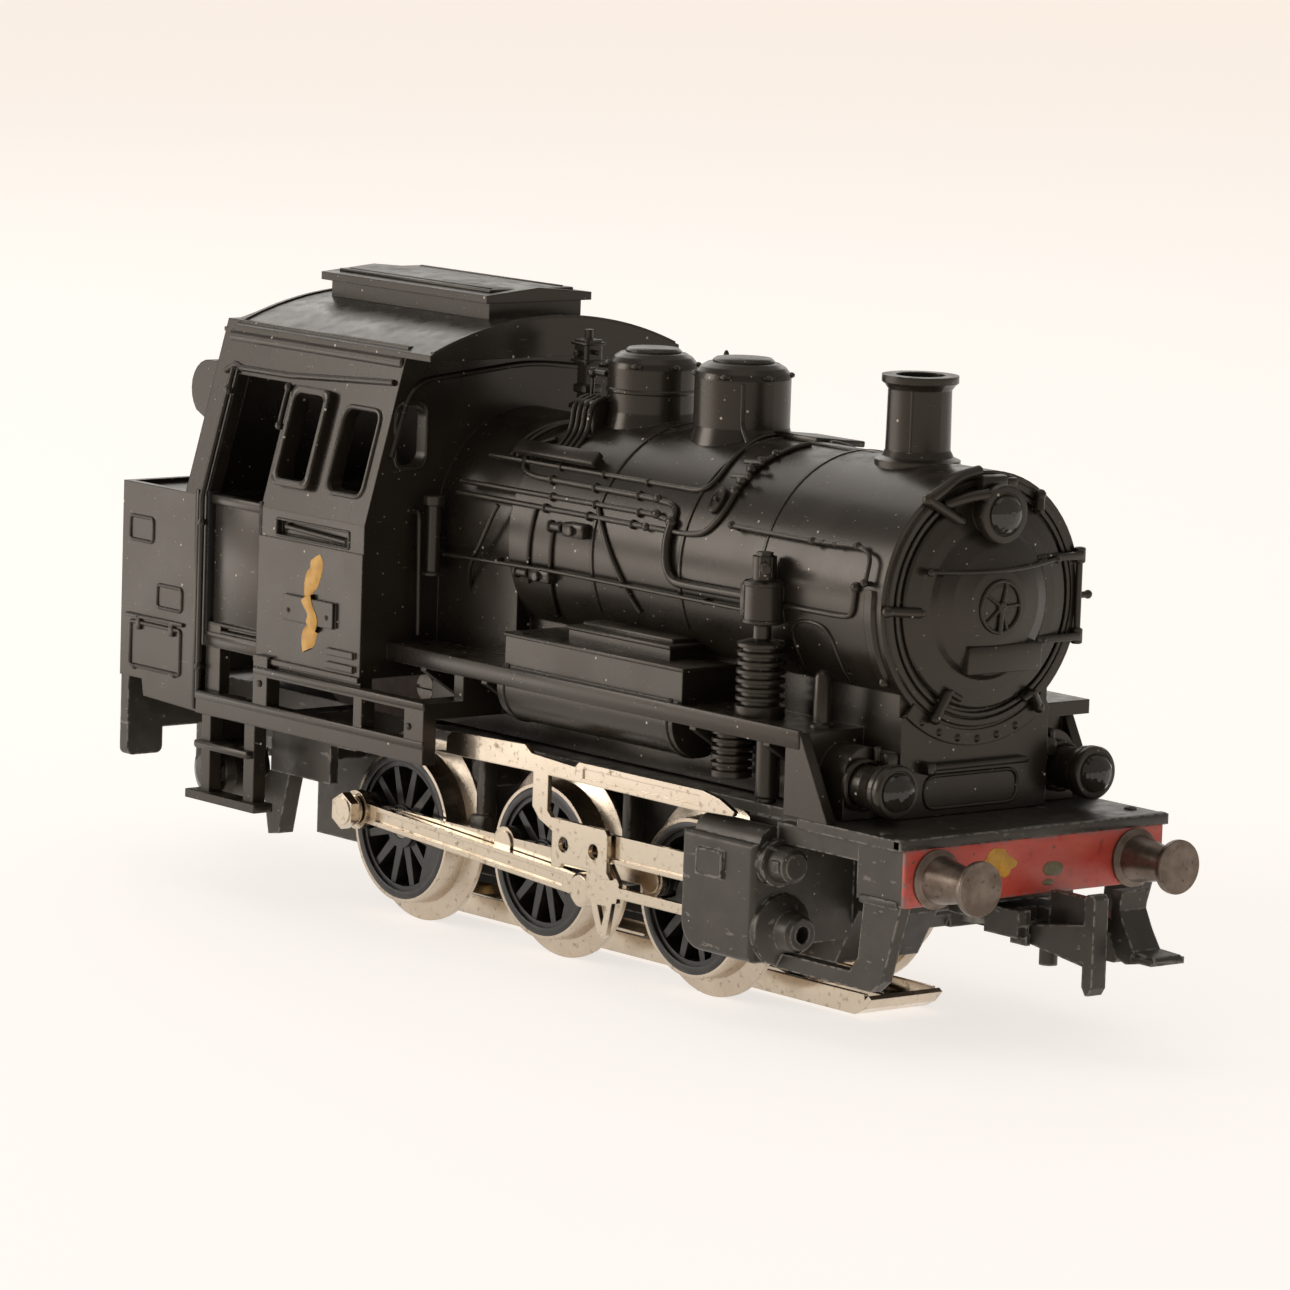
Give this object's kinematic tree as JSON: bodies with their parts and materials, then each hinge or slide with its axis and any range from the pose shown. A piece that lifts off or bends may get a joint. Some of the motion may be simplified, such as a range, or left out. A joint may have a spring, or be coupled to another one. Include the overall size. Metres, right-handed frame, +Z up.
{
  "type": "model tank locomotive",
  "caption": "Small-scale model steam tank engine: enclosed cab, round boiler with domes and chimney, coupled spoked wheels with side rods, buffers and hook couplers on a cast chassis.",
  "frame": {"origin": "centre of the track at the bottom of the wheel flanges, midway between the coupler tips", "axes": "+X towards the chimney end, -Y the right-hand side seen from the cab looking forward, +Z up"},
  "size_m": [0.1226, 0.0348, 0.0518],
  "materials": {
    "black_plastic": "moulded glossy black plastic, warm brown where light falls on it, dusty",
    "cast_black": "black-painted die-cast metal with worn grey edges",
    "buffer_brown": "turned metal darkened to a brown patina",
    "clear_lens": "clear moulded lens",
    "nickel": "pale nickel plating with a warm tint",
    "nickel_rods": "nickel-plated stamped rods",
    "tyre_nickel": "turned and nickel-plated tyres",
    "wheel_black": "black cast wheel centres",
    "gear_brass": "cut brass gear",
    "gear_plastic": "brown moulded gear",
    "steel": "plain turned steel",
    "lamination": "stacked motor laminations",
    "copper": "enamelled copper wire",
    "commutator_copper": "copper commutator segments",
    "brown_phenolic": "brown moulded insulating plate",
    "carbon": "pressed carbon and copper-gauze brush",
    "spring_steel": "spring wire and strip",
    "insulator": "dark insulating sheet"
  },
  "bodies": {
    "frame": {"chassis_frame": "cast_black", "body_shell": "black_plastic", "body_screw": "steel", "front_buffers": "buffer_brown", "rear_buffers": "buffer_brown", "upper_lamp_lens": "clear_lens", "lower_lamp_lenses": "clear_lens", "gear_studs": "steel", "field_magnet": "lamination", "field_coil": "copper", "motor_shield": "brown_phenolic", "shield_screws": "steel", "brush_spring_upper": "spring_steel", "brush_spring_lower": "spring_steel", "relay_frame": "steel", "relay_coil": "copper", "bulb": "clear_lens", "bulb_socket": "gear_brass", "shoe_carrier": "insulator", "shoe_spring": "spring_steel", "shoe_screw": "steel", "coupler_pins": "steel", "motion_bracket_right": "nickel_rods", "motion_bracket_left": "nickel_rods"},
    "armature": {"armature_shaft": "steel", "armature_core": "lamination", "armature_windings": "copper", "commutator": "commutator_copper"},
    "reduction": {"reduction_gear": "gear_plastic"},
    "idler_rear": {"idler_gear_rear": "gear_brass"},
    "idler_front": {"idler_gear_front": "gear_brass"},
    "upper_brush": {"brush_upper": "carbon"},
    "lower_brush": {"brush_lower": "carbon"},
    "relay_armature": {"relay_lever": "nickel"},
    "shoe": {"pickup_shoe": "nickel"},
    "front_coupler": {"coupler_front_arm": "cast_black"},
    "front_hook": {"coupler_front_hook": "cast_black"},
    "rear_coupler": {"coupler_rear_arm": "cast_black"},
    "rear_hook": {"coupler_rear_hook": "cast_black"},
    "wheelset_rear": {"axle_rear": "steel", "wheel_centres_rear": "wheel_black", "tyres_rear": "tyre_nickel", "crank_pins_rear": "nickel", "wheel_gear_rear": "gear_brass"},
    "wheelset_middle": {"axle_middle": "steel", "wheel_centres_middle": "wheel_black", "tyres_middle": "tyre_nickel", "crank_pins_middle": "nickel", "wheel_gear_middle": "gear_brass"},
    "wheelset_front": {"axle_front": "steel", "wheel_centres_front": "wheel_black", "tyres_front": "tyre_nickel", "crank_pins_front": "nickel", "wheel_gear_front": "gear_brass"},
    "coupling_right": {"coupling_rod_right": "nickel_rods"},
    "main_right": {"main_rod_right": "nickel_rods"},
    "crosshead_body_right": {"crosshead_right": "nickel_rods"},
    "coupling_left": {"coupling_rod_left": "nickel_rods"},
    "main_left": {"main_rod_left": "nickel_rods"},
    "crosshead_body_left": {"crosshead_left": "nickel_rods"}
  },
  "joints": [
    {"name": "rear_axle_spin", "type": "hinge", "parent": "frame", "child": "wheelset_rear", "pos_m": [-0.01553, 0, 0.00787], "axis": [0, 1, 0], "continuous": true},
    {"name": "middle_axle_spin", "type": "hinge", "parent": "frame", "child": "wheelset_middle", "pos_m": [0.00314, 0, 0.00787], "axis": [0, 1, 0], "continuous": true},
    {"name": "front_axle_spin", "type": "hinge", "parent": "frame", "child": "wheelset_front", "pos_m": [0.0218, 0, 0.00787], "axis": [0, 1, 0], "continuous": true},
    {"name": "rear_idler_spin", "type": "hinge", "parent": "frame", "child": "idler_rear", "pos_m": [-0.00619, 0, 0.01146], "axis": [0, 1, 0], "continuous": true},
    {"name": "front_idler_spin", "type": "hinge", "parent": "frame", "child": "idler_front", "pos_m": [0.01247, 0, 0.01146], "axis": [0, 1, 0], "continuous": true},
    {"name": "reduction_spin", "type": "hinge", "parent": "frame", "child": "reduction", "pos_m": [-0.01933, 0, 0.01603], "axis": [0, 1, 0], "continuous": true},
    {"name": "armature_spin", "type": "hinge", "parent": "frame", "child": "armature", "pos_m": [-0.0209, 0, 0.02489], "axis": [0, 1, 0], "continuous": true},
    {"name": "coupling_pin_right", "type": "hinge", "parent": "wheelset_rear", "child": "coupling_right", "pos_m": [-0.0192, -0.0109, 0.00885], "axis": [0, 1, 0], "continuous": true},
    {"name": "main_pin_right", "type": "hinge", "parent": "wheelset_rear", "child": "main_right", "pos_m": [-0.0192, -0.01175, 0.00885], "axis": [0, 1, 0], "continuous": true},
    {"name": "crosshead_slide_right", "type": "slide", "parent": "frame", "child": "crosshead_body_right", "axis": [1, 0, 0], "range_m": [-0.0001, 0.00751]},
    {"name": "coupling_pin_left", "type": "hinge", "parent": "wheelset_rear", "child": "coupling_left", "pos_m": [-0.01651, 0.0109, 0.0042], "axis": [0, 1, 0], "continuous": true},
    {"name": "main_pin_left", "type": "hinge", "parent": "wheelset_rear", "child": "main_left", "pos_m": [-0.01651, 0.01175, 0.0042], "axis": [0, 1, 0], "continuous": true},
    {"name": "crosshead_slide_left", "type": "slide", "parent": "frame", "child": "crosshead_body_left", "axis": [1, 0, 0], "range_m": [-0.00269, 0.00491]},
    {"name": "upper_brush_slide", "type": "slide", "parent": "frame", "child": "upper_brush", "axis": [0, -1, 0], "range_m": [0, 0.0005], "stiffness_N_per_m": 60, "springref_m": -0.0005},
    {"name": "lower_brush_slide", "type": "slide", "parent": "frame", "child": "lower_brush", "axis": [0, -1, 0], "range_m": [0, 0.0005], "stiffness_N_per_m": 60, "springref_m": -0.0005},
    {"name": "relay_hinge", "type": "hinge", "parent": "frame", "child": "relay_armature", "pos_m": [0.0089, 0, 0.0309], "axis": [0, 1, 0], "range_deg": [0, 8]},
    {"name": "shoe_travel", "type": "slide", "parent": "frame", "child": "shoe", "axis": [0, 0, 1], "range_m": [0, 0.00055], "stiffness_N_per_m": 100, "springref_m": -0.0006, "deforming": ["shoe_spring"]},
    {"name": "front_coupler_swing", "type": "hinge", "parent": "frame", "child": "front_coupler", "pos_m": [0.044, 0, 0.0102], "axis": [0, 0, 1], "range_deg": [-10, 10]},
    {"name": "front_hook_lift", "type": "hinge", "parent": "front_coupler", "child": "front_hook", "pos_m": [0.0498, -0.0002, 0.0089], "axis": [0, -1, 0], "range_deg": [0, 18]},
    {"name": "rear_coupler_swing", "type": "hinge", "parent": "frame", "child": "rear_coupler", "pos_m": [-0.044, 0, 0.0102], "axis": [0, 0, 1], "range_deg": [-10, 10]},
    {"name": "rear_hook_lift", "type": "hinge", "parent": "rear_coupler", "child": "rear_hook", "pos_m": [-0.0498, -0.0002, 0.0089], "axis": [0, 1, 0], "range_deg": [0, 18]}
  ],
  "couplings": [
    {"joint": "middle_axle_spin", "follows": "rear_axle_spin", "ratio": 1},
    {"joint": "front_axle_spin", "follows": "rear_axle_spin", "ratio": 1},
    {"joint": "rear_idler_spin", "follows": "rear_axle_spin", "ratio": -1.5},
    {"joint": "front_idler_spin", "follows": "rear_axle_spin", "ratio": -1.5},
    {"joint": "reduction_spin", "follows": "rear_axle_spin", "ratio": -2},
    {"joint": "armature_spin", "follows": "rear_axle_spin", "ratio": 7},
    {"joint": "coupling_pin_right", "follows": "rear_axle_spin", "ratio": -1},
    {"joint": "main_pin_right", "follows": "rear_axle_spin", "ratio": -1},
    {"joint": "coupling_pin_left", "follows": "rear_axle_spin", "ratio": -1},
    {"joint": "main_pin_left", "follows": "rear_axle_spin", "ratio": -1}
  ]
}
